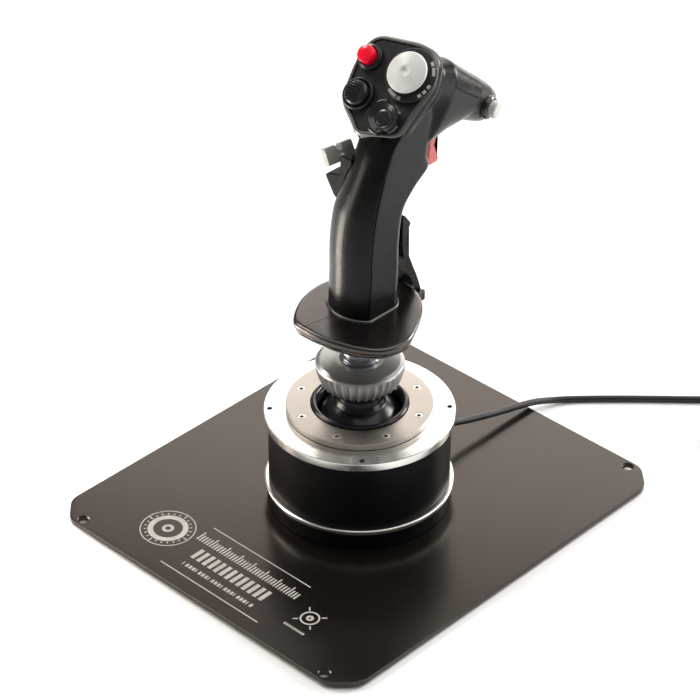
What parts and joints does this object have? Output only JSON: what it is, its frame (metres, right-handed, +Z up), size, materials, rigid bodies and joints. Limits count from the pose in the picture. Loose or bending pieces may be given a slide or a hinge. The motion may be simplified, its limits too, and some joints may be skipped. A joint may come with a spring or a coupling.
{
  "type": "flight joystick",
  "caption": "Pilot's grip with hats, buttons, trigger and pinky lever on a sprung two-axis gimbal in a round housing, on a heavy metal plate, with a lead.",
  "frame": {"origin": "on the surface that the pads stand on, at the centre of the base plate and under the gimbal", "axes": "+Z up along the stick, +Y forward, the way the stick is pushed and the nose points, +X to the pilot's right"},
  "size_m": [0.2872, 0.3769, 0.2725],
  "materials": {
    "plate": "satin dark powder coat",
    "pad_rubber": "matt",
    "black_housing": "gloss black",
    "aluminium": "satin turned",
    "warm_silver": "satin turned, warm tone",
    "screw_steel": "plated, countersunk",
    "steel": "satin",
    "spring_steel": "oiled wire",
    "ring_grey": "matt anodised",
    "black_lip": "gloss",
    "dome_black": "high gloss",
    "rest_black": "semi-gloss",
    "grip_black": "semi-gloss, fine texture",
    "face_charcoal": "matt",
    "light_grey": "satin",
    "hat_black": "semi-gloss",
    "mid_grey": "satin",
    "red": "gloss",
    "trigger_red": "translucent gloss",
    "chrome": "polished",
    "board_green": "solder mask",
    "pom_white": "machined acetal",
    "dark_metal": "blackened",
    "cable_black": "satin sheath",
    "plug_shell": "pressed and plated"
  },
  "bodies": {
    "root": {"base_plate": "plate", "foot_pad_1": "pad_rubber", "foot_pad_2": "pad_rubber", "foot_pad_3": "pad_rubber", "foot_pad_4": "pad_rubber", "base_foot": "black_housing", "lower_trim_ring": "aluminium", "housing_shell": "black_housing", "top_flange": "aluminium", "top_disc": "warm_silver", "disc_screw_1": "screw_steel", "disc_screw_2": "screw_steel", "disc_screw_3": "screw_steel", "disc_screw_4": "screw_steel", "disc_screw_5": "screw_steel", "disc_screw_6": "screw_steel", "disc_screw_7": "screw_steel", "disc_screw_8": "screw_steel", "opening_bezel": "black_lip", "gimbal_yoke": "pom_white", "controller_board": "board_green", "cable_gland": "pad_rubber", "usb_cable": "cable_black", "cable_coil": "cable_black", "usb_plug_body": "cable_black", "usb_plug_shell": "plug_shell"},
    "gimbal": {"gimbal_ring": "pom_white", "pitch_pin_left": "steel", "pitch_pin_right": "steel"},
    "stick": {"roll_pin": "steel", "stick_shaft": "steel", "sensor_magnet": "steel", "return_spring": "spring_steel", "dust_dome": "dome_black", "stick_coupling": "steel", "hand_rest": "rest_black", "lever_pin": "steel", "grip_shell_left": "grip_black", "grip_shell_right": "grip_black", "face_plate": "face_charcoal", "switch_board": "board_green", "trim_hat_bezel": "face_charcoal", "ribbed_hat_bezel": "hat_black", "red_button_bezel": "hat_black", "nose_button_collar": "chrome", "side_hat_box": "hat_black"},
    "lock_ring": {"lock_ring": "ring_grey"},
    "red_button": {"red_button": "red"},
    "nose_button": {"nose_button": "light_grey"},
    "trigger": {"trigger": "trigger_red"},
    "pinky_lever": {"pinky_lever": "grip_black"},
    "trim_hat_pivot": {"trim_hat_pivot": "dark_metal"},
    "trim_hat": {"trim_hat": "light_grey"},
    "ribbed_hat_pivot": {"ribbed_hat_pivot": "dark_metal"},
    "ribbed_hat": {"ribbed_hat": "hat_black"},
    "castle_hat_pivot": {"castle_hat_pivot": "dark_metal"},
    "castle_hat": {"castle_hat": "hat_black"},
    "side_hat_plunger": {"side_hat_plunger": "dark_metal"},
    "side_hat_pivot": {"side_hat_pivot": "dark_metal"},
    "side_hat": {"side_hat": "mid_grey"}
  },
  "joints": [
    {"name": "stick_pitch", "type": "hinge", "parent": "root", "child": "gimbal", "pos_m": [0, 0, 0.0435], "axis": [1, 0, 0], "range_deg": [-15, 15], "stiffness_Nm_per_rad": 6},
    {"name": "stick_roll", "type": "hinge", "parent": "gimbal", "child": "stick", "pos_m": [0, 0, 0.0435], "axis": [0, 1, 0], "range_deg": [-15, 15], "stiffness_Nm_per_rad": 6},
    {"name": "lock_turn", "type": "hinge", "parent": "stick", "child": "lock_ring", "pos_m": [0, 0, 0.0989], "axis": [0, 0, 1], "continuous": true},
    {"name": "red_press", "type": "slide", "parent": "stick", "child": "red_button", "axis": [-0.101, 0.7183, -0.6884], "range_m": [0, 0.002], "stiffness_N_per_m": 600, "springref_m": -0.0005},
    {"name": "nose_press", "type": "slide", "parent": "stick", "child": "nose_button", "axis": [-0.9663, -0.2303, 0.1152], "range_m": [0, 0.0015], "stiffness_N_per_m": 700, "springref_m": -0.0005},
    {"name": "trigger_pull", "type": "hinge", "parent": "stick", "child": "trigger", "pos_m": [-0.003, 0.055, 0.226], "axis": [-1, 0, 0], "range_deg": [0, 10], "stiffness_Nm_per_rad": 0.6, "springref_deg": -1.72},
    {"name": "lever_pull", "type": "hinge", "parent": "stick", "child": "pinky_lever", "pos_m": [-0.0035, 0.0435, 0.1205], "axis": [1, 0, 0], "range_deg": [0, 4], "stiffness_Nm_per_rad": 3, "springref_deg": -1.15},
    {"name": "trim_hat_tilt_a", "type": "hinge", "parent": "stick", "child": "trim_hat_pivot", "pos_m": [-0.00093, 0.04102, 0.25737], "axis": [0.9903, 0.1392, 0], "range_deg": [-10, 10], "stiffness_Nm_per_rad": 0.08},
    {"name": "trim_hat_tilt_b", "type": "hinge", "parent": "trim_hat_pivot", "child": "trim_hat", "pos_m": [-0.00093, 0.04102, 0.25737], "axis": [-0.0958, 0.6817, 0.7254], "range_deg": [-10, 10], "stiffness_Nm_per_rad": 0.08},
    {"name": "ribbed_hat_tilt_a", "type": "hinge", "parent": "stick", "child": "ribbed_hat_pivot", "pos_m": [-0.02346, 0.02236, 0.24628], "axis": [0.9903, 0.1392, 0], "range_deg": [-8, 8], "stiffness_Nm_per_rad": 0.08},
    {"name": "ribbed_hat_tilt_b", "type": "hinge", "parent": "ribbed_hat_pivot", "child": "ribbed_hat", "pos_m": [-0.02346, 0.02236, 0.24628], "axis": [-0.0958, 0.6817, 0.7254], "range_deg": [-8, 8], "stiffness_Nm_per_rad": 0.08},
    {"name": "castle_hat_tilt_a", "type": "hinge", "parent": "stick", "child": "castle_hat_pivot", "pos_m": [-0.00104, 0.02237, 0.23793], "axis": [0.9903, 0.1392, 0], "range_deg": [-8, 8], "stiffness_Nm_per_rad": 0.08},
    {"name": "castle_hat_tilt_b", "type": "hinge", "parent": "castle_hat_pivot", "child": "castle_hat", "pos_m": [-0.00104, 0.02237, 0.23793], "axis": [-0.0958, 0.6817, 0.7254], "range_deg": [-8, 8], "stiffness_Nm_per_rad": 0.08},
    {"name": "side_press", "type": "slide", "parent": "stick", "child": "side_hat_plunger", "axis": [1, 0, 0], "range_m": [0, 0.0006], "stiffness_N_per_m": 1500, "springref_m": -0.0002},
    {"name": "side_hat_tilt_a", "type": "hinge", "parent": "side_hat_plunger", "child": "side_hat_pivot", "pos_m": [-0.0207, 0.012, 0.212], "axis": [0, 1, 0], "range_deg": [-8, 8], "stiffness_Nm_per_rad": 0.08},
    {"name": "side_hat_tilt_b", "type": "hinge", "parent": "side_hat_pivot", "child": "side_hat", "pos_m": [-0.0207, 0.012, 0.212], "axis": [0, 0, 1], "range_deg": [-8, 8], "stiffness_Nm_per_rad": 0.08}
  ]
}
